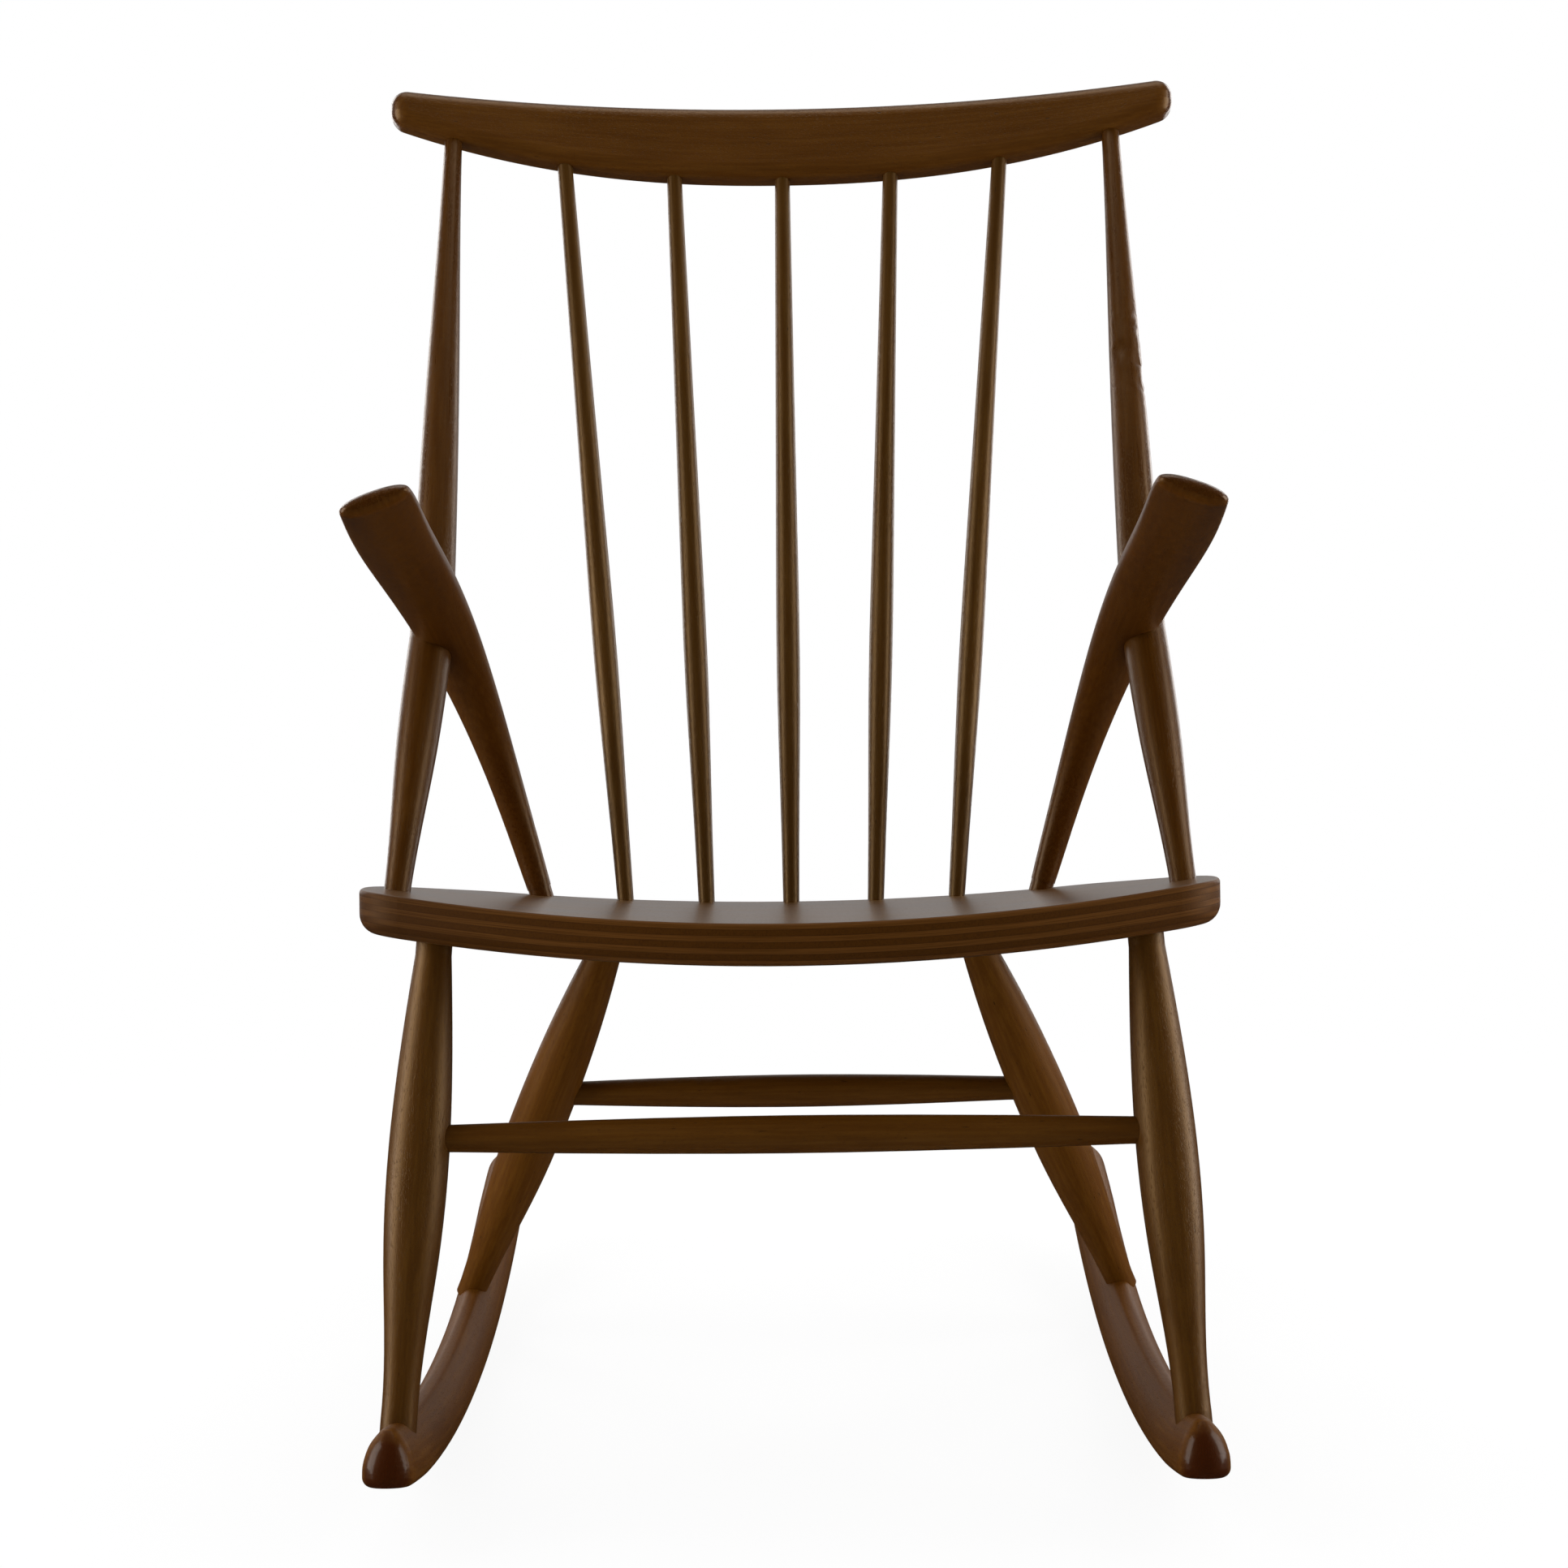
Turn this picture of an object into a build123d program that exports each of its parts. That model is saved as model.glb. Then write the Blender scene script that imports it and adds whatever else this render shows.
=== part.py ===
"""A rocking chair with a spindle back, sawn arms and a bent plywood seat.

Millimetres. +Z is up and the sitter faces -Y. The origin is on the floor,
under the middle of the chair's outline. Left is -X, as seen from in front.
"""
import math
import os

from build123d import *

os.makedirs("parts", exist_ok=True)

sides = {"left": -1, "right": 1}

# Joints
clearance = 0.15            # between a round end and its socket, all round
tenon_diameter = 16         # of the hidden tenons at coped shoulders
rocker_tenon = 20           # how far a leg's tenon goes below the rocker's top
arm_tenon = 30              # how far the arm post's tenon goes past the arm's centre line
cope_depth = 9              # how far a coped end runs on before it is cut to shape
socket_reach = 70           # how far a socket's cutter runs out from its bottom

# Rockers
rocker_spacing = 485.5      # between the two centre lines
rocker_width = 35
rocker_tip_width = 32
rocker_height = 34.5
rocker_sole_round = 6       # where the sole turns up into the sides
rocker_side_height = 9      # where the sides turn in to the arched top
rocker_arch = ((0.9, 0.36), (0.69, 0.66), (0.4, 0.885))     # shares of its half width and rise
rocker_low_y = -4           # where the rockers touch the floor
rocker_front_radius = 1335  # of the sole, in front of that place
rocker_rear_radius = 1005   # and behind it
rocker_front_y = -351       # the two ends
rocker_rear_y = 334
rocker_taper = 55           # over this length the width falls to that of the tips
rocker_narrowing = ((0, 0), (0.5, 0.35), (1, 1))    # shares of that length and of that fall

# Seat
seat_front_y = -251
seat_front_height = 364.8   # of the top surface, at the middle of the front edge
seat_depth = 408
seat_tilt = 6.6             # degrees, down towards the back
seat_thickness = 27
seat_front_radius = 1600    # of the hollow across the seat, at the front edge
seat_rear_radius = 2300     # and at the rear edge
seat_front_half = 270       # half the width across the front corners
seat_widest_half = 284
seat_rear_half = 226
seat_front_corner = 45      # the front corners lie this far behind the front edge
seat_widest = 156           # the widest place lies this far behind the front edge
seat_rear_bow = 20          # the rear corners lie this far ahead of the rear edge's middle
seat_corner_round = 42
seat_lower_round = 13
seat_upper_round = 2.5
seat_socket = 16            # depth of the sockets in the seat
seat_blank_spare = 30       # extra all round, before the panel is cut to its outline

# Legs: the shapes are (share of the length, diameter), from the rocker up
front_leg_foot_y = -290
front_leg_top_x = 226.5
front_leg_top_back = 56     # behind the front edge, along the seat
front_leg_shape = ((0, 22.5), (0.13, 24), (0.33, 33.8), (0.525, 38.2), (0.73, 34.8), (1, 23))
rear_leg_foot_y = 91
rear_leg_top_x = 134
rear_leg_top_inset = 128    # ahead of the rear edge, along the seat
rear_leg_shape = ((0, 21.7), (0.1, 25.5), (0.344, 37.7), (0.53, 40.3), (0.77, 36.2), (1, 24))

leg_neck = 8                # plain length under the seat

# Stretchers
front_stretcher_height = 229
rear_stretcher_height = 193
stretcher_shape = ((0, 17.3), (0.25, 21.8), (0.5, 23.8), (0.75, 21.8), (1, 17.3))
stretcher_shoulder = 22     # from a leg's centre line to where the taper starts
stretcher_tenon = 16        # length of the plain end past that

# Crest rail, in its own leaning frame
crest_y = 320
crest_height_above_floor = 879.3
crest_lean = 18.3           # degrees back from upright
crest_half = 308
crest_middle_height = 61.2
crest_end_height = 27
crest_lower_rise = 27       # how far the lower edge climbs to the ends
crest_lower_power = 2.6     # how late it climbs
crest_thickness = 24
crest_radius = 850          # of the curve across the back
crest_corner_round = 12
crest_front_round = 11
crest_back_round = 5
crest_socket = 18
crest_edge_points = 8       # on each half of the lower edge
crest_blank_spare = 30      # extra, before the rail is cut to its outline

# Back spindles, from the seat up
spindle_seat_x = (-125, -64.1, 0, 64.1, 125)
spindle_seat_inset = 21     # of the row's middle from the seat's rear edge
spindle_row_radius = 800    # of the row's curve on the seat
spindle_shape = ((0, 12.2), (0.146, 14.9), (0.3, 17.9), (0.486, 17), (0.64, 15.4),
                 (0.814, 13.7), (1, 12))

# Posts: the short one carries the arm, the long one goes on to the crest rail
post_seat_x = 264.3
post_seat_back = 157        # behind the front edge, along the seat
post_arm_share = 0.4353     # where the posts meet, as a share of the arm's length
post_arm_outward = 13       # from the arm's centre line
post_crest_inset = 47.6     # from the crest rail's end
arm_post_shape = ((0, 17.9), (0.256, 22.1), (0.53, 28.4), (0.715, 30.5), (1, 31))
back_post_shape = ((0, 31), (0.256, 28.9), (0.46, 25.5), (0.617, 21.9), (0.775, 17.8),
                   (0.88, 15.6), (1, 13.9))

# Arms: the centre line of the right arm and its sections
arm_seat_x = 189.7
arm_seat_inset = 36         # from the seat's rear edge, as measured in the middle
arm_line = ((204.8, 117, 391), (220.2, 99, 448), (239.8, 42, 524), (251.4, -38, 571.2),
            (254, -138, 604), (248.6, -240.2, 625.9))
arm_cant = 20               # degrees at the front end, where the outer edge lies lower
arm_twist_start = 0.383       # share of the length from which the cant grows
arm_foot = 17.3             # of the tenon in the seat
arm_neck = 6                # plain length above the seat
arm_widths = (18.1, 25, 36, 46.3, 50.2, 49.6, 45.5)
arm_thicknesses = (18.1, 21.2, 26.9, 31, 29.4, 23, 13.5)
arm_fullness = (2, 2, 2, 2.05, 2.2, 2.35, 2.4)      # 2 is a true ellipse, more is squarer
arm_section_points = 24
arm_nose_length = 8         # of the rounding at the front end
arm_nose_sweep = 78         # degrees of that rounding
arm_nose_steps = 8
arm_nose_narrowing = 0.3    # how much the front corners are rounded off


def unit(start, end):
    """The direction from one point to another."""
    return (Vector(*end) - Vector(*start)).normalized()


def beyond(start, end, distance):
    """The point that lies past the end, in line with the start."""
    return Vector(*end) + unit(start, end) * distance


def mid_height(start, end, height):
    """The point of a line at a height above the floor."""
    share = (height - start[2]) / (end[2] - start[2])
    return tuple(a + (b - a) * share for a, b in zip(start, end))


def turn(start, end, shape, sunk_start, sunk_end):
    """Add a turned rod. Its outline runs smoothly through the (share, diameter) pairs
    of its shape, and both ends run on at their own diameters for the sunk lengths."""
    along = unit(start, end)
    across = along.cross(Vector(0, 1, 0)).normalized()
    length = (Vector(*end) - Vector(*start)).length
    outline = [(diameter / 2, share * length) for share, diameter in shape]
    foot = (outline[0][0], -sunk_start)
    head = (outline[-1][0], length + sunk_end)
    with BuildSketch(Plane(origin=start, x_dir=across, z_dir=across.cross(along))) as half:
        with BuildLine():
            Polyline((0, -sunk_start), foot, outline[0])
            Spline(*outline)
            Polyline(outline[-1], head, (0, length + sunk_end), (0, -sunk_start))
        make_face()
    revolve(half.sketch, axis=Axis(start, along))


def rod(start, end, diameter):
    """Add a plain round rod."""
    with BuildSketch(Plane(origin=start, z_dir=unit(start, end))) as disc:
        Circle(diameter / 2)
    extrude(disc.sketch, amount=(Vector(*end) - Vector(*start)).length)


def bore(bottom, mouth, diameter):
    """Cut a round socket from its bottom out through its mouth."""
    with BuildSketch(Plane(origin=bottom, z_dir=unit(bottom, mouth))) as disc:
        Circle(diameter / 2 + clearance)
    extrude(disc.sketch, amount=socket_reach, mode=Mode.SUBTRACT)


def save(part, name):
    """Label a finished piece and write it."""
    part.label = name
    export_step(part, f"parts/{name}.step")


# The seat's frame: x across, y back along the seat, z square to it
tilt = math.radians(seat_tilt)
seat_plane = Plane(origin=(0, seat_front_y, seat_front_height), x_dir=(1, 0, 0),
                   z_dir=(0, math.sin(tilt), math.cos(tilt)))
seat_rear_corner = seat_depth - seat_rear_bow
rear_leg_top_back = seat_depth - rear_leg_top_inset


def hollow(radius, x):
    """How far an arc of this radius has risen at x."""
    return radius - math.sqrt(radius ** 2 - x ** 2)


def seat_radius(back):
    """Radius of the hollow across the seat, at a distance behind the front edge."""
    share = back / seat_depth
    return 1 / ((1 - share) / seat_front_radius + share / seat_rear_radius)


def on_seat(x, back, above=0):
    """A point on the seat's top surface, or above it, or below it where negative."""
    rise = hollow(seat_radius(back), x)
    return tuple(seat_plane.from_local_coords(Vector(x, back, rise + above)))


def under_seat(x, back):
    """Where the plain neck of a leg starts, below the seat."""
    return on_seat(x, back, -seat_thickness - leg_neck)


# The crest rail's frame: x across, y back through its thickness, z up along the lean
lean = math.radians(crest_lean)
crest_plane = Plane(origin=(0, crest_y, crest_height_above_floor), x_dir=(1, 0, 0),
                    z_dir=(0, math.sin(lean), math.cos(lean)))


def crest_lower_edge(x):
    """Height of the crest rail's lower edge in its own frame."""
    return crest_lower_rise * (abs(x) / crest_half) ** crest_lower_power


def under_crest(x, above=0):
    """A point in the middle of the crest rail's lower edge, or above it."""
    height = crest_lower_edge(x) + above
    return tuple(crest_plane.from_local_coords(Vector(x, -hollow(crest_radius, x), height)))


def rocker_radius(y):
    """Radius of the sole at this place."""
    return rocker_front_radius if y < rocker_low_y else rocker_rear_radius


def rocker_top(y):
    """Height of a rocker's upper edge."""
    radius = rocker_radius(y)
    return radius - math.sqrt((radius - rocker_height) ** 2 - (y - rocker_low_y) ** 2)


def foot_point(side, y):
    """Where a leg's axis meets the top of its rocker."""
    return (side * rocker_spacing / 2, y, rocker_top(y))


# Arms: centre lines and section planes. The x axis of a section plane runs across
# the arm towards +X, its y axis out of the arm's upper face, its z axis along the arm
arm_curve = {}
for name, side in sides.items():
    with BuildLine() as centre_line:
        Spline(on_seat(side * arm_seat_x, seat_depth - arm_seat_inset, arm_neck),
               *[(side * x, y, z) for x, y, z in arm_line])
    arm_curve[name] = centre_line.edges()[0]


def canted_plane(name, origin, along, share):
    """A plane across an arm, with the cant that belongs to a share of its length."""
    twist = max(0, share - arm_twist_start) / (1 - arm_twist_start)
    cant = math.radians(arm_cant * twist)
    level = Vector(math.cos(cant), 0, -sides[name] * math.sin(cant))
    across = level - along * level.dot(along)
    return Plane(origin=origin, x_dir=across, z_dir=along)


def arm_section_plane(name, share):
    """The plane across an arm at a share of its length."""
    return canted_plane(name, arm_curve[name] @ share, arm_curve[name] % share, share)


def arm_meeting(name):
    """The plane in the middle of an arm's thickness, placed where its posts meet."""
    section = arm_section_plane(name, post_arm_share)
    meeting = section.from_local_coords(Vector(sides[name] * post_arm_outward, 0, 0))
    return Plane(origin=meeting, x_dir=section.x_dir, z_dir=section.y_dir)


# Axes of the straight pieces, each from its lower end to its upper end
post_crest_x = crest_half - post_crest_inset
front_leg = {}
rear_leg = {}
arm_post = {}
back_post = {}
for name, side in sides.items():
    front_leg[name] = (foot_point(side, front_leg_foot_y),
                       under_seat(side * front_leg_top_x, front_leg_top_back))
    rear_leg[name] = (foot_point(side, rear_leg_foot_y),
                      under_seat(side * rear_leg_top_x, rear_leg_top_back))
    crossing = tuple(arm_meeting(name).origin)
    arm_post[name] = (on_seat(side * post_seat_x, post_seat_back), crossing)
    back_post[name] = (crossing, under_crest(side * post_crest_x))

spindle = []
crest_gap = 2 * post_crest_x / (len(spindle_seat_x) + 1)
for place, seat_x in enumerate(spindle_seat_x, start=1):
    back = seat_depth - spindle_seat_inset - hollow(spindle_row_radius, seat_x)
    spindle.append((on_seat(seat_x, back), under_crest(place * crest_gap - post_crest_x)))


def stretcher_ends(legs, height):
    """Where a stretcher's taper starts and ends, between the legs of a pair."""
    left, right = (mid_height(*legs[name], height) for name in sides)
    return beyond(right, left, -stretcher_shoulder), beyond(left, right, -stretcher_shoulder)


front_stretcher = stretcher_ends(front_leg, front_stretcher_height)
rear_stretcher = stretcher_ends(rear_leg, rear_stretcher_height)


# Rockers
def runner_plane(side, radius, angle):
    """The plane across a rocker at an angle of its arc, its y axis up from the sole."""
    return Plane(origin=(side * rocker_spacing / 2, rocker_low_y + radius * math.sin(angle),
                         radius - radius * math.cos(angle)),
                 x_dir=(1, 0, 0), z_dir=(0, -math.cos(angle), -math.sin(angle)))


def runner_section(plane, width, whole=True):
    """A flat sole with round corners under a tall arch, or the half of it on the +X side."""
    half = width / 2
    rise = rocker_height - rocker_side_height
    with BuildSketch(plane) as section:
        with BuildLine():
            Line((0, 0), (half - rocker_sole_round, 0))
            CenterArc((half - rocker_sole_round, rocker_sole_round), rocker_sole_round, -90, 90)
            Line((half, rocker_sole_round), (half, rocker_side_height))
            Spline((half, rocker_side_height),
                   *[(half * across, rocker_side_height + rise * up) for across, up in rocker_arch],
                   (0, rocker_height), tangents=((0, 1), (-1, 0)))
            Line((0, rocker_height), (0, 0))
        make_face()
        if whole:
            mirror(about=Plane.YZ)
    return section.sketch


def rocker_blank(side):
    """A runner bent to two arcs, with tapered and rounded ends, before it is bored."""
    with BuildPart() as blank:
        for way, radius, end_y in ((-1, rocker_front_radius, rocker_front_y),
                                   (1, rocker_rear_radius, rocker_rear_y)):
            tip_reach = abs(end_y - rocker_low_y) - rocker_tip_width / 2
            tip = math.asin(tip_reach / radius)
            taper = rocker_taper / radius
            middle = Axis((0, rocker_low_y, radius), (way, 0, 0))
            whole = runner_section(runner_plane(side, radius, 0), rocker_width)
            revolve(whole, axis=middle, revolution_arc=math.degrees(tip - taper))
            stations = []
            for share, narrowing in rocker_narrowing:
                angle = way * (tip - taper * (1 - share))
                width = rocker_width + (rocker_tip_width - rocker_width) * narrowing
                stations.append(runner_section(runner_plane(side, radius, angle), width))
            loft(stations)
            end = runner_plane(side, radius, way * tip)
            outward = Plane(origin=end.origin, x_dir=end.x_dir * way, z_dir=end.z_dir * way)
            nose = runner_section(outward, rocker_tip_width, whole=False)
            revolve(nose, axis=Axis(end.origin, end.y_dir), revolution_arc=180)
    return blank.part


rocker_blanks = {name: rocker_blank(side) for name, side in sides.items()}

for name, side in sides.items():
    with BuildPart() as rocker:
        add(rocker_blanks[name])
        for foot, top in (front_leg[name], rear_leg[name]):
            bore(beyond(top, foot, rocker_tenon), foot, tenon_diameter)
    save(rocker.part, f"rocker_{name}")


# Legs
def leg(name, axis, shape, stretcher):
    """A turned leg, coped onto its rocker and bored for its stretcher."""
    near, far = stretcher if name == "left" else reversed(stretcher)
    with BuildPart() as piece:
        turn(*axis, shape, cope_depth, leg_neck + seat_socket)
        add(rocker_blanks[name], mode=Mode.SUBTRACT)
        rod(beyond(axis[1], axis[0], rocker_tenon), axis[1], tenon_diameter)
        bore(beyond(far, near, stretcher_tenon), far, stretcher_shape[0][1])
    return piece.part


for name in sides:
    save(leg(name, front_leg[name], front_leg_shape, front_stretcher), f"front_leg_{name}")
    save(leg(name, rear_leg[name], rear_leg_shape, rear_stretcher), f"rear_leg_{name}")

# Stretchers
for name, ends in (("front_stretcher", front_stretcher), ("rear_stretcher", rear_stretcher)):
    with BuildPart() as stretcher:
        turn(*ends, stretcher_shape, stretcher_tenon, stretcher_tenon)
    save(stretcher.part, name)


# Arms
def arm_outline(half_width, half_thickness, fullness):
    """Points round an arm's section, an ellipse with fuller corners."""
    points = []
    for step in range(arm_section_points):
        angle = 2 * math.pi * step / arm_section_points
        x, y = math.cos(angle), math.sin(angle)
        points.append((half_width * math.copysign(abs(x) ** (2 / fullness), x),
                       half_thickness * math.copysign(abs(y) ** (2 / fullness), y)))
    return points


def arm_section(plane, width, thickness, fullness):
    """A section of an arm, ready to be lofted."""
    with BuildSketch(plane) as section:
        with BuildLine():
            Spline(*arm_outline(width / 2, thickness / 2, fullness), periodic=True)
        make_face()
    return section.sketch


def arm_blank(name):
    """An arm that rises from the seat and broadens to its front end, before it is bored."""
    last = len(arm_widths) - 1
    shaft = [arm_section(arm_section_plane(name, place / last), arm_widths[place],
                         arm_thicknesses[place], arm_fullness[place]) for place in range(last + 1)]
    # The nose goes on with the cant and the taper of the shaft
    nose = [shaft[-1]]
    front = arm_section_plane(name, 1)
    for step in range(1, arm_nose_steps + 1):
        angle = math.radians(arm_nose_sweep * step / arm_nose_steps)
        lost = 1 - math.cos(angle)
        ahead = arm_nose_length * math.sin(angle)
        share = ahead / arm_curve[name].length
        width, thickness = (sizes[-1] + (sizes[-1] - sizes[-2]) * last * share
                            for sizes in (arm_widths, arm_thicknesses))
        centre = front.from_local_coords(Vector(0, 0, ahead))
        nose.append(arm_section(canted_plane(name, centre, front.z_dir, 1 + share),
                                width * (1 - arm_nose_narrowing * lost),
                                thickness * (1 - lost), arm_fullness[-1]))
    with BuildPart() as blank:
        loft(shaft)
        loft(nose)
        foot = arm_curve[name] @ 0
        rod(foot, foot - (arm_curve[name] % 0) * (arm_neck + seat_socket), arm_foot)
    return blank.part


arm_blanks = {name: arm_blank(name) for name in sides}

for name in sides:
    low, crossing = arm_post[name]
    with BuildPart() as arm:
        add(arm_blanks[name])
        bore(crossing, low, tenon_diameter)
        bore(crossing, beyond(low, crossing, arm_tenon), tenon_diameter)
    save(arm.part, f"arm_{name}")

# Posts
for name in sides:
    low, crossing = arm_post[name]
    high = back_post[name][1]
    tenon_end = beyond(low, crossing, arm_tenon)
    with BuildPart() as post:
        turn(low, crossing, arm_post_shape, seat_socket, cope_depth)
        split(bisect_by=arm_meeting(name), keep=Keep.BOTTOM)
        add(arm_blanks[name], mode=Mode.SUBTRACT)
        rod(low, tenon_end, tenon_diameter)
    save(post.part, f"arm_post_{name}")
    with BuildPart() as post:
        turn(crossing, high, back_post_shape, cope_depth, crest_socket)
        split(bisect_by=arm_meeting(name), keep=Keep.TOP)
        add(arm_blanks[name], mode=Mode.SUBTRACT)
        bore(tenon_end, low, tenon_diameter)
    save(post.part, f"back_post_{name}")

# Spindles
for place, (foot, top) in enumerate(spindle, start=1):
    with BuildPart() as rod_piece:
        turn(foot, top, spindle_shape, seat_socket, crest_socket)
    save(rod_piece.part, f"spindle_{place}")


# Seat
def seat_section(back):
    """The panel's hollow cross-section, at a distance behind the front edge."""
    radius = seat_radius(back)
    angle = math.asin((seat_widest_half + seat_blank_spare) / radius)
    outer = radius + seat_thickness
    plane = Plane(origin=seat_plane.from_local_coords(Vector(0, back, 0)), x_dir=(1, 0, 0),
                  z_dir=(0, -math.cos(tilt), math.sin(tilt)))
    with BuildSketch(plane) as section:
        with BuildLine():
            upper = [(radius * math.sin(a), radius - radius * math.cos(a)) for a in (-angle, 0, angle)]
            lower = [(outer * math.sin(a), radius - outer * math.cos(a)) for a in (-angle, 0, angle)]
            ThreePointArc(*upper)
            ThreePointArc(*lower)
            Line(upper[0], lower[0])
            Line(upper[2], lower[2])
        make_face()
    return section.sketch


with BuildPart() as seat:
    loft([seat_section(-seat_blank_spare), seat_section(seat_depth + seat_blank_spare)])
    with BuildSketch(seat_plane) as outline:
        with BuildLine():
            ThreePointArc((-seat_front_half, seat_front_corner), (0, 0),
                          (seat_front_half, seat_front_corner))
            ThreePointArc((seat_front_half, seat_front_corner), (seat_widest_half, seat_widest),
                          (seat_rear_half, seat_rear_corner))
            ThreePointArc((seat_rear_half, seat_rear_corner), (0, seat_depth),
                          (-seat_rear_half, seat_rear_corner))
            ThreePointArc((-seat_rear_half, seat_rear_corner), (-seat_widest_half, seat_widest),
                          (-seat_front_half, seat_front_corner))
        make_face()
        fillet(outline.vertices(), radius=seat_corner_round)
    seat_rise = hollow(seat_front_radius, seat_widest_half)
    extrude(amount=seat_thickness + seat_rise + seat_blank_spare, both=True, mode=Mode.INTERSECT)
    across_seat = seat.faces().sort_by(lambda face: face.normal_at().dot(seat_plane.z_dir))
    fillet(across_seat[-1].edges(), radius=seat_upper_round)
    across_seat = seat.faces().sort_by(lambda face: face.normal_at().dot(seat_plane.z_dir))
    fillet(across_seat[0].edges(), radius=seat_lower_round)
    for name, side in sides.items():
        for leg_axis, shape in ((front_leg[name], front_leg_shape), (rear_leg[name], rear_leg_shape)):
            bore(beyond(*leg_axis, leg_neck + seat_socket), leg_axis[0], shape[-1][1])
        bore(beyond(*reversed(arm_post[name]), seat_socket), arm_post[name][1], arm_post_shape[0][1])
        arm_root = arm_curve[name] @ 0
        arm_up = arm_curve[name] % 0
        bore(arm_root - arm_up * (arm_neck + seat_socket), arm_root, arm_foot)
    for foot, top in spindle:
        bore(beyond(top, foot, seat_socket), top, spindle_shape[0][1])
save(seat.part, "seat")

# Crest rail
with BuildPart() as crest:
    with BuildSketch(crest_plane) as band:
        with BuildLine():
            reach = math.asin((crest_half + crest_thickness) / crest_radius)
            for radius in (crest_radius - crest_thickness / 2, crest_radius + crest_thickness / 2):
                ThreePointArc(*[(radius * math.sin(a), radius * math.cos(a) - crest_radius)
                                for a in (-reach, 0, reach)])
            for a in (-reach, reach):
                Line(*[(radius * math.sin(a), radius * math.cos(a) - crest_radius) for radius in
                       (crest_radius - crest_thickness / 2, crest_radius + crest_thickness / 2)])
        make_face()
    extrude(amount=crest_middle_height + crest_blank_spare)
    face_plane = Plane(origin=crest_plane.origin, x_dir=(1, 0, 0), z_dir=-crest_plane.y_dir)
    with BuildSketch(face_plane) as outline:
        with BuildLine():
            step = crest_half / crest_edge_points
            low = [(step * k, crest_lower_edge(step * k))
                   for k in range(-crest_edge_points, crest_edge_points + 1)]
            Spline(*low)
            end_top = crest_lower_rise + crest_end_height
            Line(low[-1], (crest_half, end_top))
            ThreePointArc((crest_half, end_top), (0, crest_middle_height), (-crest_half, end_top))
            Line((-crest_half, end_top), low[0])
        make_face()
        fillet(outline.vertices(), radius=crest_corner_round)
    crest_bow = hollow(crest_radius, crest_half)
    extrude(amount=crest_bow + crest_blank_spare, both=True, mode=Mode.INTERSECT)
    for behind, radius in ((False, crest_front_round), (True, crest_back_round)):
        broad = crest.faces().filter_by(GeomType.CYLINDER).sort_by(SortBy.AREA)[-2:]
        broad = broad.sort_by(lambda face: face.center().dot(crest_plane.y_dir), reverse=behind)
        fillet(broad[0].edges(), radius=radius)
    for name in sides:
        crossing, top = back_post[name]
        bore(beyond(crossing, top, crest_socket), crossing, back_post_shape[-1][1])
    for foot, top in spindle:
        bore(beyond(foot, top, crest_socket), foot, spindle_shape[-1][1])
save(crest.part, "crest_rail")
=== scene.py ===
"""Finishes, studio and camera for a spindle-back rocking chair in stained beech.

Metres. +Z is up and the sitter faces -Y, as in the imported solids, which all stay:
each one gets a wood of its own, with the grain laid along the piece.
"""
import itertools
import math

import bmesh
import bpy
import numpy as np
from mathutils import Matrix, Vector


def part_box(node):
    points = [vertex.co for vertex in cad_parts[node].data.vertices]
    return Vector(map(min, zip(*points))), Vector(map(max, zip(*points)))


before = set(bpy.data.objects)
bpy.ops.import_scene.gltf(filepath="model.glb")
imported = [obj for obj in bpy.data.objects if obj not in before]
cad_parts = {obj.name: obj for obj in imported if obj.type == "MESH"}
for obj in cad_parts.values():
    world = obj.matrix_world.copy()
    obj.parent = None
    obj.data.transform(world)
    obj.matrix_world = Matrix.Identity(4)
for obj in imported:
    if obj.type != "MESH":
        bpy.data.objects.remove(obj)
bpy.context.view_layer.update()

# Places and radii that the bent pieces share with the solids
seat_origin = Vector((0, -0.251, 0.3648))     # middle of the seat's front edge, on top
seat_tilt = math.radians(6.6)
seat_depth = 0.408
seat_front_radius = 1.6
seat_rear_radius = 2.3
seat_thickness = 0.027
seat_plies = 7
crest_origin = Vector((0, 0.320, 0.8793))
crest_lean = math.radians(18.3)
crest_radius = 0.85
rocker_low_y = -0.004
rocker_front_radius = 1.335
rocker_rear_radius = 1.005
spindle_count = 5

# Marks in solid beech: how many come in a metre along the grain, across it and into it
patch_rates = (9, 26, 26)
wander_rates = (3.2, 12, 12)
streak_rates = (14, 420, 420)
ray_rates = (330, 1500, 1500)
pore_rates = (120, 700, 700)
ring_pitch = 0.0052
ring_slant = 0.35               # how far the rings lie askew to the piece
ring_wander = 0.045
next_plank = (3.1, 0.37, 0.73)  # from one piece's wood to the next, so that no two match

# Marks in the seat's plies, in a metre across the chair, backwards and into the panel
veneer_patch_rates = (7, 16, 7)
veneer_wander_rates = (2.2, 9, 0)
veneer_streak_rates = (11, 330, 900)
veneer_ray_rates = (300, 1300, 1300)
veneer_ring_pitch = 0.0105
veneer_ring_wander = 0.10
ply_line_rates = (16, 16, 2600)
ply_end_rates = (900, 900, 700)
edge_shade_span = (-0.12, -0.28)    # from where to where the seat's edge gets painted shade, darker towards its -X end

# Where each mark begins to show and where it shows fully, as a level of its noise
streak_range = (0.36, 0.70)
fleck_range = (0.55, 0.72)
pore_range = (0.74, 0.80)
patch_range = (0.66, 0.34)
veneer_patch_range = (0.62, 0.36)
ply_line_range = (0.38, 0.68)
ply_end_range = (0.45, 0.7)

# The same for ends and edges, as squareness to the grain, to the side and to the seat's top
end_grain_range = (0.30, 0.72)
side_range = (0.45, 0.85)
edge_range = (0.985, 0.90)

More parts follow.
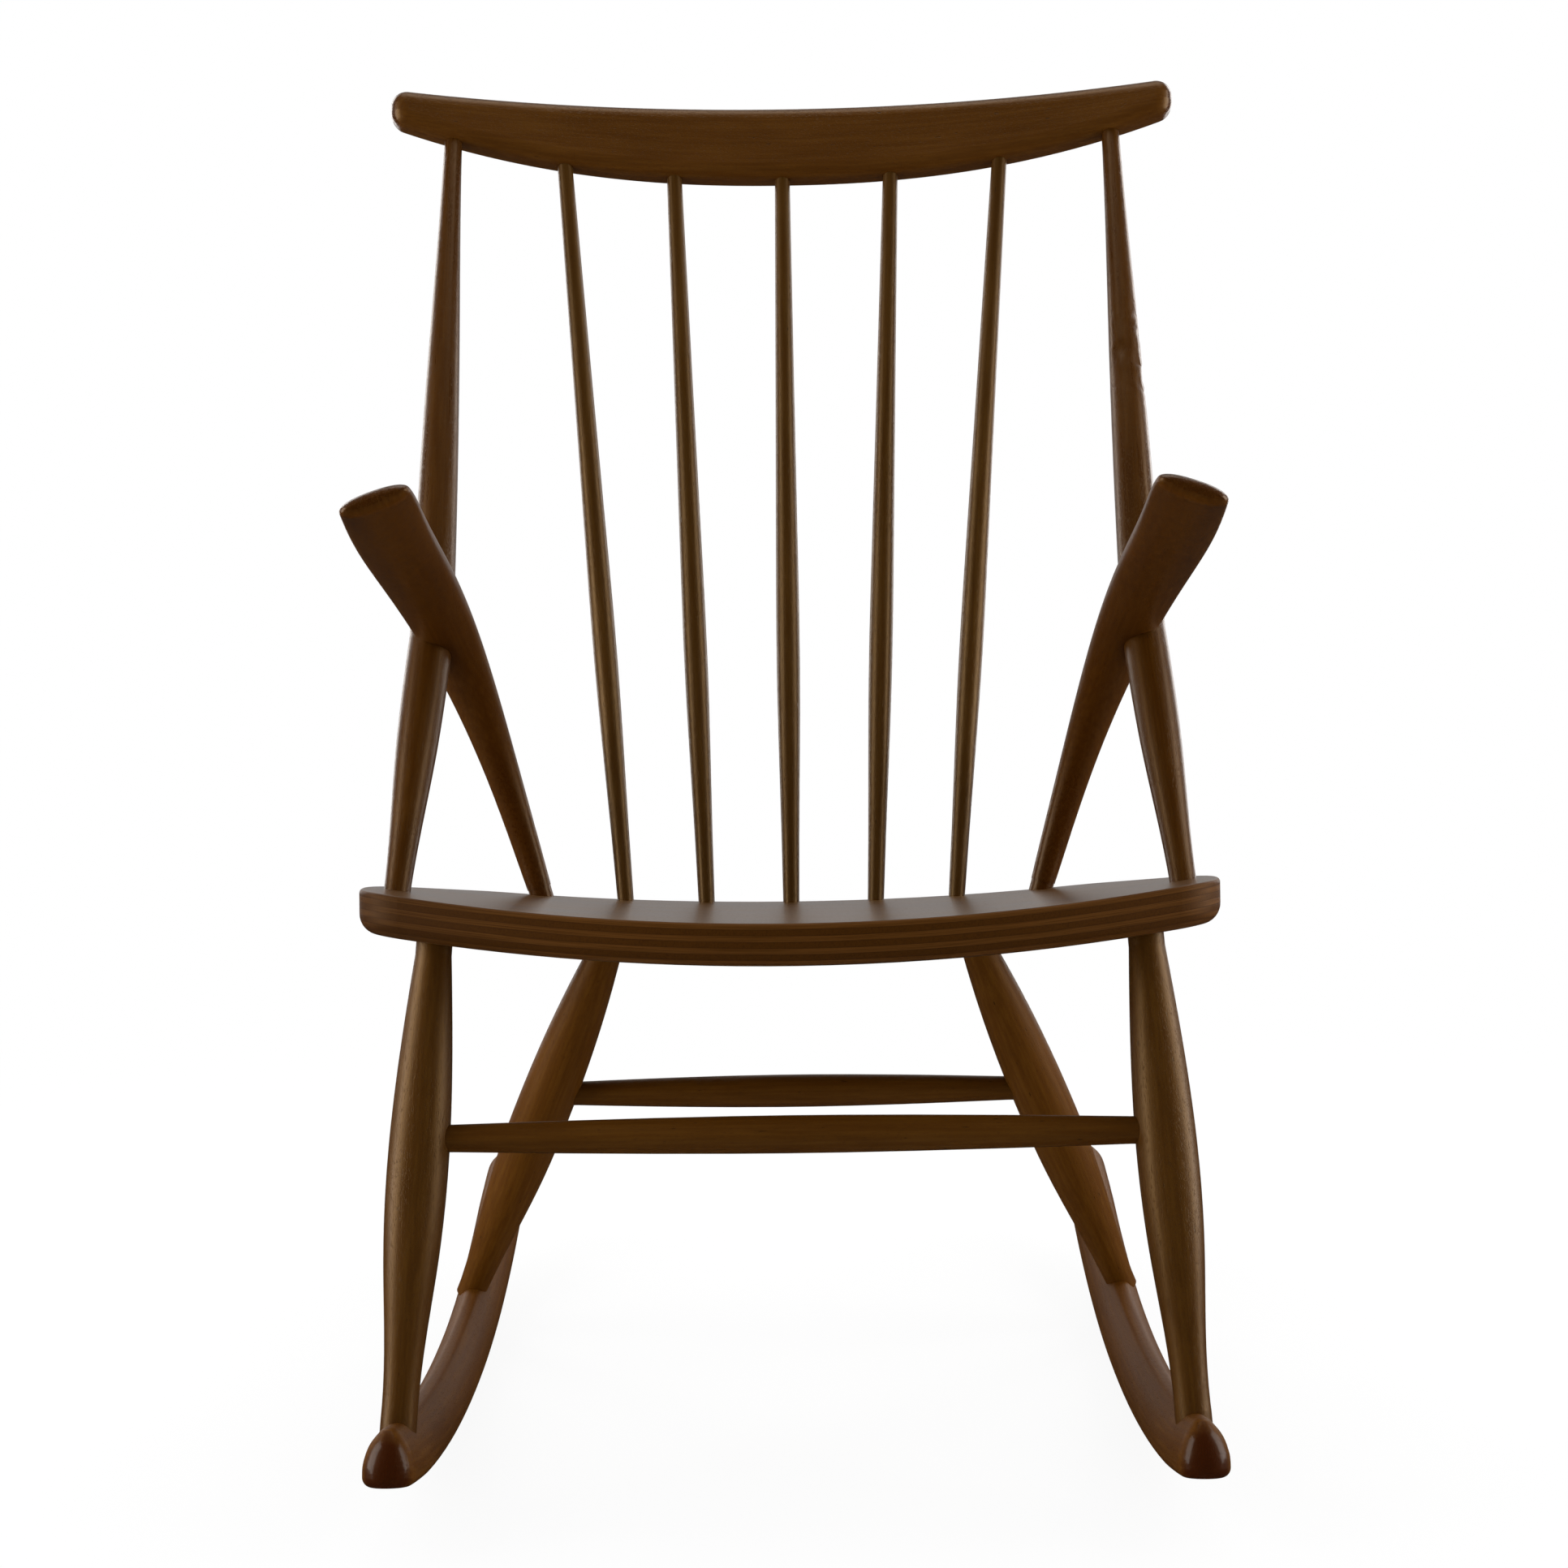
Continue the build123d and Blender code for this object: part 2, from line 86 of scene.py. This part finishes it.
# How strongly each mark tells in solid beech: in its colour, its roughness and its relief
streak_colour = 0.65
ring_colour = 0.1008
patch_colour = 0.198
fleck_colour = 0.42
pore_colour = 0.75
pore_shade = (0.35, 0.30, 0.30)     # of the dark figure
end_grain_shade = (0.80, 0.54, 0.60)
patch_roughness = 0.08
fleck_roughness = 0.12
streak_roughness = 0.08
streak_rise = 0.55
fleck_depth = 0.8
pore_depth = 1.4
beech_relief = 0.30

# The same for the seat
veneer_ring_colour = 0.30
veneer_patch_colour = 0.40
veneer_fleck_colour = 0.40
ply_least = 0.05                    # of the tone of a ply seen on end, in every ply
ply_contrast = 0.9
ply_end_colour = 0.35
seam_share = 0.10                   # of a ply, at each glue line
seam_colour = 0.55
# How dark the painted shade on the seat's edge gets
edge_shade_colour = 0.5
veneer_fleck_roughness = 0.08
veneer_streak_rise = 0.5
veneer_fleck_depth = 0.7
seam_depth = 1.2
seat_relief = 0.16

# Varnish
varnish_tint = (1.0, 0.62, 0.26, 1)     # the warm gloss of an old amber varnish
varnish_index = 1.5
varnish_roughness = 0.29
relief_depth = 0.0004
dark_end_coat = 0.3
dark_end_coat_roughness = 0.16
dark_end_polish = 0.18                  # how much less rough a dark end is
seat_gloss = 0.2
seat_coat = 0.5
seat_coat_roughness = 0.22
seat_edge_roughness = 0.24              # more than on the seat's top


class Varying:
    """A number that varies over a surface, for maths that reads as plain maths."""

    def __init__(self, finish, socket):
        self.finish = finish
        self.socket = socket

    def __add__(self, other):
        return self.finish.maths("ADD", self, other)

    def __radd__(self, other):
        return self.finish.maths("ADD", other, self)

    def __sub__(self, other):
        return self.finish.maths("SUBTRACT", self, other)

    def __rsub__(self, other):
        return self.finish.maths("SUBTRACT", other, self)

    def __mul__(self, other):
        return self.finish.maths("MULTIPLY", self, other)

    def __rmul__(self, other):
        return self.finish.maths("MULTIPLY", other, self)

    def __truediv__(self, other):
        return self.finish.maths("DIVIDE", self, other)

    def __rtruediv__(self, other):
        return self.finish.maths("DIVIDE", other, self)

    def __mod__(self, other):
        return self.finish.maths("FLOORED_MODULO", self, other)

    def __gt__(self, other):
        return self.finish.maths("GREATER_THAN", self, other)

    def __abs__(self):
        return self.finish.maths("ABSOLUTE", self)


class Finish:
    """A material or the world, and the nodes that make it."""

    def __init__(self, owner):
        self.owner = owner
        owner.use_nodes = True
        self.tree = owner.node_tree
        self.tree.nodes.clear()

    def node(self, kind, settings=None, sockets=None, output=0):
        """Add a node: its settings first, then its sockets' values and links."""
        made = self.tree.nodes.new("ShaderNode" + kind)
        for name, value in (settings or {}).items():
            setattr(made, name, value)
        for name, value in (sockets or {}).items():
            if isinstance(value, Varying):
                self.tree.links.new(value.socket, made.inputs[name])
            else:
                made.inputs[name].default_value = value
        if output is None:
            return made
        return Varying(self, made.outputs[output])

    def maths(self, operation, *values):
        return self.node("Math", {"operation": operation}, dict(enumerate(values)))

    def root(self, value):
        return self.maths("SQRT", value)

    def sine(self, value):
        return self.maths("SINE", value)

    def ramp(self, value, low, high, start=0, end=1):
        """A smooth step from start to end while the value goes from low to high."""
        return self.node("MapRange", {"interpolation_type": "SMOOTHSTEP"},
                         {"Value": value, "From Min": low, "From Max": high,
                          "To Min": start, "To Max": end})

    def blend(self, factor, first, second):
        """Mix two colours."""
        return self.node("Mix", {"data_type": "RGBA"}, {0: factor, 6: first, 7: second}, output=2)

    def vector(self, x, y, z):
        return self.node("CombineXYZ", None, {0: x, 1: y, 2: z})

    def split(self, vector):
        made = self.node("SeparateXYZ", None, {0: vector}, output=None)
        return [Varying(self, made.outputs[axis]) for axis in range(3)]

    def place(self):
        """The place on the chair."""
        return self.node("TexCoord", output="Object")

    def place_from(self, origin, turned):
        """The place on the chair, measured from an origin along turned directions."""
        vector = self.node("Mapping", {"vector_type": "TEXTURE"},
                           {"Vector": self.place(), "Location": origin, "Rotation": turned})
        return self.split(vector)

    def squareness(self, direction):
        """1 where the surface lies square to a direction, 0 where it runs along it."""
        facing = self.node("TexCoord", output="Normal")
        return abs(self.node("VectorMath", {"operation": "DOT_PRODUCT"},
                             {0: facing, 1: direction}, output="Value"))

    def marks(self, place, rates, detail, roughness=0.5):
        """Noise from 0 to 1 that is drawn out by a rate along each direction."""
        stretched = [distance * rate for distance, rate in zip(place, rates)]
        return self.node("TexNoise", None, {"Vector": self.vector(*stretched), "Scale": 1,
                                            "Detail": detail, "Roughness": roughness})

    def rings(self, distance, pitch, low):
        """Growth rings, as bands that come in where a wave rises past low."""
        return self.ramp(self.sine(distance * 2 * math.pi / pitch), low, 1)

    def varnish(self, colour, roughness, height, relief, gloss, coat, coat_roughness):
        """Satin amber varnish over the wood, with a little of its relief."""
        bump = self.node("Bump", None,
                         {"Strength": relief, "Distance": relief_depth, "Height": height})
        shader = self.node("BsdfPrincipled", None, {
            "Base Color": colour, "Roughness": roughness, "IOR": varnish_index,
            "Specular IOR Level": gloss, "Specular Tint": varnish_tint,
            "Coat Weight": coat, "Coat Roughness": coat_roughness, "Normal": bump})
        self.surface(shader)

    def surface(self, shader, output="OutputMaterial"):
        self.node(output, None, {"Surface": shader}, output=None)


# Grain: each layout gives the distance along the grain and two distances across it
def straight_grain(origin, along):
    """Grain along a straight piece."""
    turned = Vector((0, 0, 1)).rotation_difference(along).to_euler()

    def layout(finish):
        across, deep, length = finish.place_from(origin, turned)
        return length, across, deep

    return layout, along


def rocker_grain(side_x):
    """Grain that follows the two arcs of a bent rocker."""
    def layout(finish):
        x, y, z = finish.split(finish.place())
        back = y - rocker_low_y
        behind = back > 0
        radius = rocker_front_radius + behind * (rocker_rear_radius - rocker_front_radius)
        height = radius - finish.root(back * back + (radius - z) * (radius - z))
        return back, x - side_x, height

    return layout, Vector((0, 1, 0))


def crest_grain():
    """Grain along the bent crest rail."""
    def layout(finish):
        x, back, up = finish.place_from(crest_origin, (-crest_lean, 0, 0))
        deep = finish.root(x * x + (back + crest_radius) * (back + crest_radius))
        return x, up, deep - crest_radius

    return layout, Vector((1, 0, 0))


def axis_of(node):
    """The middle of a piece and the direction of its length, from its own mesh."""
    mesh = node.data
    points = np.array([corner.co for corner in mesh.vertices], float)
    middle = (points.min(0) + points.max(0)) / 2
    spread = np.linalg.eigh(np.cov((points - points.mean(0)).T))[1][:, -1]
    along = Vector(spread)
    if along.z < 0:
        along.negate()
    return Vector(middle), along.normalized()


# Wood
def shaded(tone, factors):
    """A darker tone, channel by channel."""
    return (*(channel * factor for channel, factor in zip(tone, factors)), 1)


def stained_beech(name, grain, tones, seed, gloss=0.5, smoothness=0, end_darkening=0.3):
    """Beech under a brown stain and a satin varnish.

    tones are the colour of the dark figure, of the wood at large and of its light streaks.
    """
    layout, along = grain
    finish = Finish(bpy.data.materials.new(name))
    place = [distance + shift * seed for distance, shift in zip(layout(finish), next_plank)]
    length, across, deep = place

    # Patches where the stain took more or less, and growth rings that wander along the piece
    patches = finish.marks(place, patch_rates, detail=3)
    wander = finish.marks(place, wander_rates, detail=1)
    rings = finish.rings(deep + ring_slant * across + ring_wander * wander, ring_pitch, low=-0.2)
    # Streaks along the grain, the short dark flecks of the rays, and a few open pores
    streaks = finish.marks(place, streak_rates, detail=4, roughness=0.62)
    fleck = finish.ramp(finish.marks(place, ray_rates, detail=2, roughness=0.6), *fleck_range)
    pore = finish.ramp(finish.marks(place, pore_rates, detail=1), *pore_range)

    dark, plain, light = [(*tone, 1) for tone in tones]
    colour = finish.blend(streak_colour * finish.ramp(streaks, *streak_range), plain, light)
    figure = ring_colour * rings + patch_colour * finish.ramp(patches, *patch_range)
    colour = finish.blend(figure, colour, dark)
    colour = finish.blend(fleck_colour * fleck, colour, dark)
    colour = finish.blend(pore_colour * pore, colour, shaded(dark, pore_shade))
    # End grain drinks the stain and goes dark, red and glossy
    end_grain = end_darkening * finish.ramp(finish.squareness(along), *end_grain_range)
    colour = finish.blend(end_grain, colour, shaded(dark, end_grain_shade))

    roughness = (varnish_roughness - smoothness + patch_roughness * patches
                 + fleck_roughness * fleck + streak_roughness * (streaks - 0.5)
                 - dark_end_polish * end_grain)
    height = streak_rise * streaks - fleck_depth * fleck - pore_depth * pore
    finish.varnish(colour, roughness, height, beech_relief, gloss,
                   dark_end_coat * end_grain, dark_end_coat_roughness)
    return finish.owner


def seat_plywood(name, tones, edge_tones):
    """A bent panel of seven beech plies, whose edges show end grain in every other ply."""
    finish = Finish(bpy.data.materials.new(name))
    x, back, up = finish.place_from(seat_origin, (-seat_tilt, 0, 0))
    share = back / seat_depth
    radius = 1 / ((1 - share) / seat_front_radius + share / seat_rear_radius)
    depth = finish.root(x * x + (radius - up) * (radius - up)) - radius
    level = depth / (seat_thickness / seat_plies)
    even = (level % 2) > 1                       # 0 where the grain runs across the chair
    within = level % 1
    place = (x, back, depth)

    # The face veneers
    patches = finish.marks((x, back, up), veneer_patch_rates, detail=3)
    wander = finish.marks(place, veneer_wander_rates, detail=2)
    rings = finish.rings(back + veneer_ring_wander * wander, veneer_ring_pitch, low=-0.3)
    streaks = finish.marks(place, veneer_streak_rates, detail=4, roughness=0.62)
    fleck = finish.ramp(finish.marks(place, veneer_ray_rates, detail=2, roughness=0.6),
                        *fleck_range)
    dark, plain, light = [(*tone, 1) for tone in tones]
    veneer = finish.blend(finish.ramp(streaks, *streak_range), plain, light)
    figure = (veneer_ring_colour * rings
              + veneer_patch_colour * finish.ramp(patches, *veneer_patch_range))
    veneer = finish.blend(figure, veneer, dark)
    veneer = finish.blend(veneer_fleck_colour * fleck, veneer, dark)

    # The edge: plies seen along their grain are light, plies seen on end are dark
    on_side = finish.ramp(finish.squareness((1, 0, 0)), *side_range)
    on_end = even + on_side - 2 * even * on_side         # one or the other, but not both
    long_lines = finish.marks(place, ply_line_rates, detail=3, roughness=0.65)
    end_lines = finish.marks(place, ply_end_rates, detail=2)
    edge_dark, edge_light, glue = [(*tone, 1) for tone in edge_tones]
    lit_ply = finish.blend(finish.ramp(long_lines, *ply_line_range), edge_light, edge_dark)
    end_marks = ply_end_colour * finish.ramp(end_lines, *ply_end_range)
    end_ply = finish.blend(end_marks, edge_dark, glue)
    edge = finish.blend(ply_least + ply_contrast * on_end, lit_ply, end_ply)
    seam = finish.ramp(within, seam_share, 0) + finish.ramp(within, 1 - seam_share, 1)
    edge = finish.blend(seam_colour * seam, edge, glue)
    # Painted shade on the edge, darker towards the seat's -X end
    edge = finish.blend(edge_shade_colour * finish.ramp(x, *edge_shade_span), edge, glue)
    face_direction = (0, math.sin(seat_tilt), math.cos(seat_tilt))
    on_edge = finish.ramp(finish.squareness(face_direction), *edge_range)
    colour = finish.blend(on_edge, veneer, edge)

    roughness = (varnish_roughness + patch_roughness * patches + veneer_fleck_roughness * fleck
                 + seat_edge_roughness * on_edge)
    height = (veneer_streak_rise * streaks - veneer_fleck_depth * fleck
              - seam_depth * on_edge * seam)
    finish.varnish(colour, roughness, height, seat_relief, seat_gloss,
                   seat_coat * (1 - on_edge), seat_coat_roughness)
    return finish.owner


def dress(node_name, material):
    """Give a solid of the chair its wood."""
    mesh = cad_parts[node_name].data
    mesh.materials.clear()
    mesh.materials.append(material)


# Tones: the dark figure, the wood at large, its light streaks
# Each piece's tones are one stained beech made lighter or darker by how brightly that piece is
# lit: painted light on the rear legs, stretchers and rockers, painted shade on the arm posts,
# back posts and spindles.
turned_tones = ((0.0371, 0.0106, 0.0009), (0.0725, 0.0252, 0.0023), (0.1040, 0.0416, 0.0047))
arm_post_shaded_tones = ((0.0296, 0.0078, 0.0007), (0.0578, 0.0185, 0.0015), (0.0829, 0.0305, 0.0031))
back_post_shaded_tones = ((0.0279, 0.0073, 0.0007), (0.0546, 0.0174, 0.0016), (0.0783, 0.0288, 0.0033))
rear_leg_lit_tones = ((0.0526, 0.0144, 0.0012), (0.1026, 0.0341, 0.0029), (0.1473, 0.0563, 0.0059))
stretcher_lit_tones = ((0.0451, 0.0124, 0.0011), (0.0880, 0.0296, 0.0026), (0.1263, 0.0487, 0.0054))
spindle_shaded_tones = ((0.0304, 0.0096, 0.0011), (0.0593, 0.0226, 0.0027), (0.0851, 0.0375, 0.0054))
arm_tones = ((0.0383, 0.0097, 0.0008), (0.0745, 0.0233, 0.0019), (0.1082, 0.0388, 0.0039))
crest_tones = ((0.0401, 0.0111, 0.0011), (0.0781, 0.0258, 0.0025), (0.1102, 0.0408, 0.0047))
rocker_lit_tones = ((0.0477, 0.0121, 0.0009), (0.0954, 0.0308, 0.0026), (0.1387, 0.0523, 0.0053))
seat_tones = ((0.0480, 0.0167, 0.0024), (0.0980, 0.0400, 0.0072), (0.1360, 0.0632, 0.0136))
# On the seat's edge: plies seen on end, plies seen along the grain, glue lines
seat_edge_tones = ((0.0640, 0.0196, 0.0012), (0.1220, 0.0450, 0.0078), (0.0240, 0.0064, 0.0005))

sides = ("left", "right")
seeds = itertools.count(1)
for pieces, tones, gloss, smoothness in (
        ([f"front_leg_{side}" for side in sides], turned_tones, 0.5, -0.03),
        ([f"rear_leg_{side}" for side in sides], rear_leg_lit_tones, 0.15, -0.10),
        ([f"arm_post_{side}" for side in sides], arm_post_shaded_tones, 0.3, 0.02),
        ([f"back_post_{side}" for side in sides], back_post_shaded_tones, 0.5, 0.05),
        (["front_stretcher", "rear_stretcher"], stretcher_lit_tones, 0.4, -0.03),
        ([f"spindle_{place + 1}" for place in range(spindle_count)], spindle_shaded_tones, 0.5, 0)):
    for piece in pieces:
        grain = straight_grain(*axis_of(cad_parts[piece]))
        dress(piece, stained_beech(f"turned beech, {piece}", grain, tones, next(seeds), gloss,
                                   smoothness))
for side in sides:
    arm = f"arm_{side}"
    grain = straight_grain(*axis_of(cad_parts[arm]))
    dress(arm, stained_beech(f"sawn beech, {arm}", grain, arm_tones, next(seeds), gloss=0.35,
                             end_darkening=0.35))
    rocker = f"rocker_{side}"
    low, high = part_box(rocker)
    grain = rocker_grain((low.x + high.x) / 2)
    dress(rocker, stained_beech(f"bent beech, {rocker}", grain, rocker_lit_tones, next(seeds),
                                gloss=0.15, smoothness=-0.16, end_darkening=0.95))
dress("crest_rail", stained_beech("bent beech, crest_rail", crest_grain(), crest_tones,
                                  next(seeds), end_darkening=0.7))
dress("seat", seat_plywood("bent plywood, seat", seat_tones, seat_edge_tones))


# Studio
floor_radius = 9.0
floor_segments = 96
floor_shade = 0.72
floor_shade_seen = 0.96             # to the camera
floor_shade_mirrored = 0.02         # in the varnish
fade_start = 0.45                   # where the floor begins to turn into plain white
fade_end = 1.5
fade_least = 0.92
sky_front = 0.34
sky_rear = 0.50
sky_turn = (-0.5, 0.7)              # from the front to the rear, as the Y of a direction
mirrored_sky_front = 0.03
mirrored_sky_turn = (0.1, 0.95)
side_box = {"distance": 1.6, "height": 0.85, "aim_height": 0.5, "width": 1.0, "tall": 1.6}
rear_box = {"distance": 1.7, "height": 1.0, "aim_height": 0.6, "width": 0.5, "tall": 1.5}
top_box = {"distance": 0.5, "height": 2.4, "aim_height": 0.5, "width": 1.6, "tall": 0.9}


def studio_floor():
    """A wide pale floor that keeps the chair's soft shadow and fades out to white."""
    mesh = bpy.data.meshes.new("studio floor")
    build = bmesh.new()
    bmesh.ops.create_circle(build, cap_ends=True, segments=floor_segments, radius=floor_radius)
    build.to_mesh(mesh)
    build.free()
    floor = bpy.data.objects.new("studio_floor", mesh)
    bpy.context.scene.collection.objects.link(floor)
    finish = Finish(bpy.data.materials.new("pale studio floor"))
    x, y = finish.split(finish.place())[:2]
    distance = finish.root(x * x + y * y)
    seen = finish.node("LightPath", output="Is Camera Ray")
    mirrored = finish.node("LightPath", output="Is Glossy Ray")
    shade = (floor_shade + (floor_shade_seen - floor_shade) * seen
             - (floor_shade - floor_shade_mirrored) * mirrored)
    paper = finish.node("BsdfDiffuse", None, {"Color": shade})
    white = finish.node("Emission", None, {"Color": (1, 1, 1, 1), "Strength": 1.0})
    plain = seen * finish.ramp(distance, fade_start, fade_end, fade_least, 1.0)
    mixed = finish.node("MixShader", None, {0: plain, 1: paper, 2: white})
    finish.surface(mixed)
    mesh.materials.append(finish.owner)


def soft_light(name, azimuth, power, distance, height, aim_height, width, tall):
    """A soft box at an azimuth, in degrees from straight in front towards +X."""
    lamp = bpy.data.lights.new(name, "AREA")
    lamp.shape = "RECTANGLE"
    lamp.size = width
    lamp.size_y = tall
    lamp.energy = power
    turned = math.radians(azimuth)
    place = Vector((distance * math.sin(turned), -distance * math.cos(turned), height))
    towards = Vector((0, 0, aim_height)) - place
    aim = towards.to_track_quat("-Z", "Y").to_matrix().to_4x4()
    box = bpy.data.objects.new(name, lamp)
    box.matrix_world = Matrix.Translation(place) @ aim
    bpy.context.scene.collection.objects.link(box)


def studio_world():
    """White to look at, and a soft light that is weakest from the front."""
    world = bpy.data.worlds.new("studio")
    bpy.context.scene.world = world
    finish = Finish(world)
    y = finish.split(finish.node("TexCoord", output="Generated"))[1]
    mirrored = finish.node("LightPath", output="Is Glossy Ray")
    soft = finish.ramp(y, *sky_turn, sky_front, sky_rear)
    gloss = finish.ramp(y, *mirrored_sky_turn, mirrored_sky_front, sky_rear)
    lit = soft + mirrored * (gloss - soft)
    seen = finish.node("LightPath", output="Is Camera Ray")
    strength = lit + seen * (1 - lit)
    sky = finish.node("Background", None, {"Color": (1, 1, 1, 1), "Strength": strength})
    finish.surface(sky, "OutputWorld")


studio_floor()
studio_world()
soft_light("left soft box", azimuth=-76, power=22, **side_box)
soft_light("right soft box", azimuth=84, power=21, **side_box)
soft_light("left rear soft box", azimuth=-140, power=8, **rear_box)
soft_light("right rear soft box", azimuth=140, power=8, **rear_box)
soft_light("top soft box", azimuth=180, power=9, **top_box)

# Camera
camera_place = Vector((0.008, -1.878, 0.622))
camera_yaw = math.radians(0.35)
camera_pitch = math.radians(6.0)
camera_roll = math.radians(0.8)
image_width = 1932
focal_length = 3300         # in pixels of that width
sensor_width = 36

forward = Vector((-math.sin(camera_yaw) * math.cos(camera_pitch),
                  math.cos(camera_yaw) * math.cos(camera_pitch), -math.sin(camera_pitch)))
level = Vector((math.cos(camera_yaw), math.sin(camera_yaw), 0))
upward = level.cross(forward)
right = math.cos(camera_roll) * level - math.sin(camera_roll) * upward
top = math.sin(camera_roll) * level + math.cos(camera_roll) * upward
camera_turn = Matrix((right, top, -forward)).transposed().to_4x4()
lens = bpy.data.cameras.new("camera")
lens.sensor_width = sensor_width
lens.lens = focal_length / image_width * sensor_width
camera = bpy.data.objects.new("camera", lens)
camera.matrix_world = Matrix.Translation(camera_place) @ camera_turn
bpy.context.scene.collection.objects.link(camera)
bpy.context.scene.camera = camera
bpy.context.scene.view_settings.view_transform = "Standard"
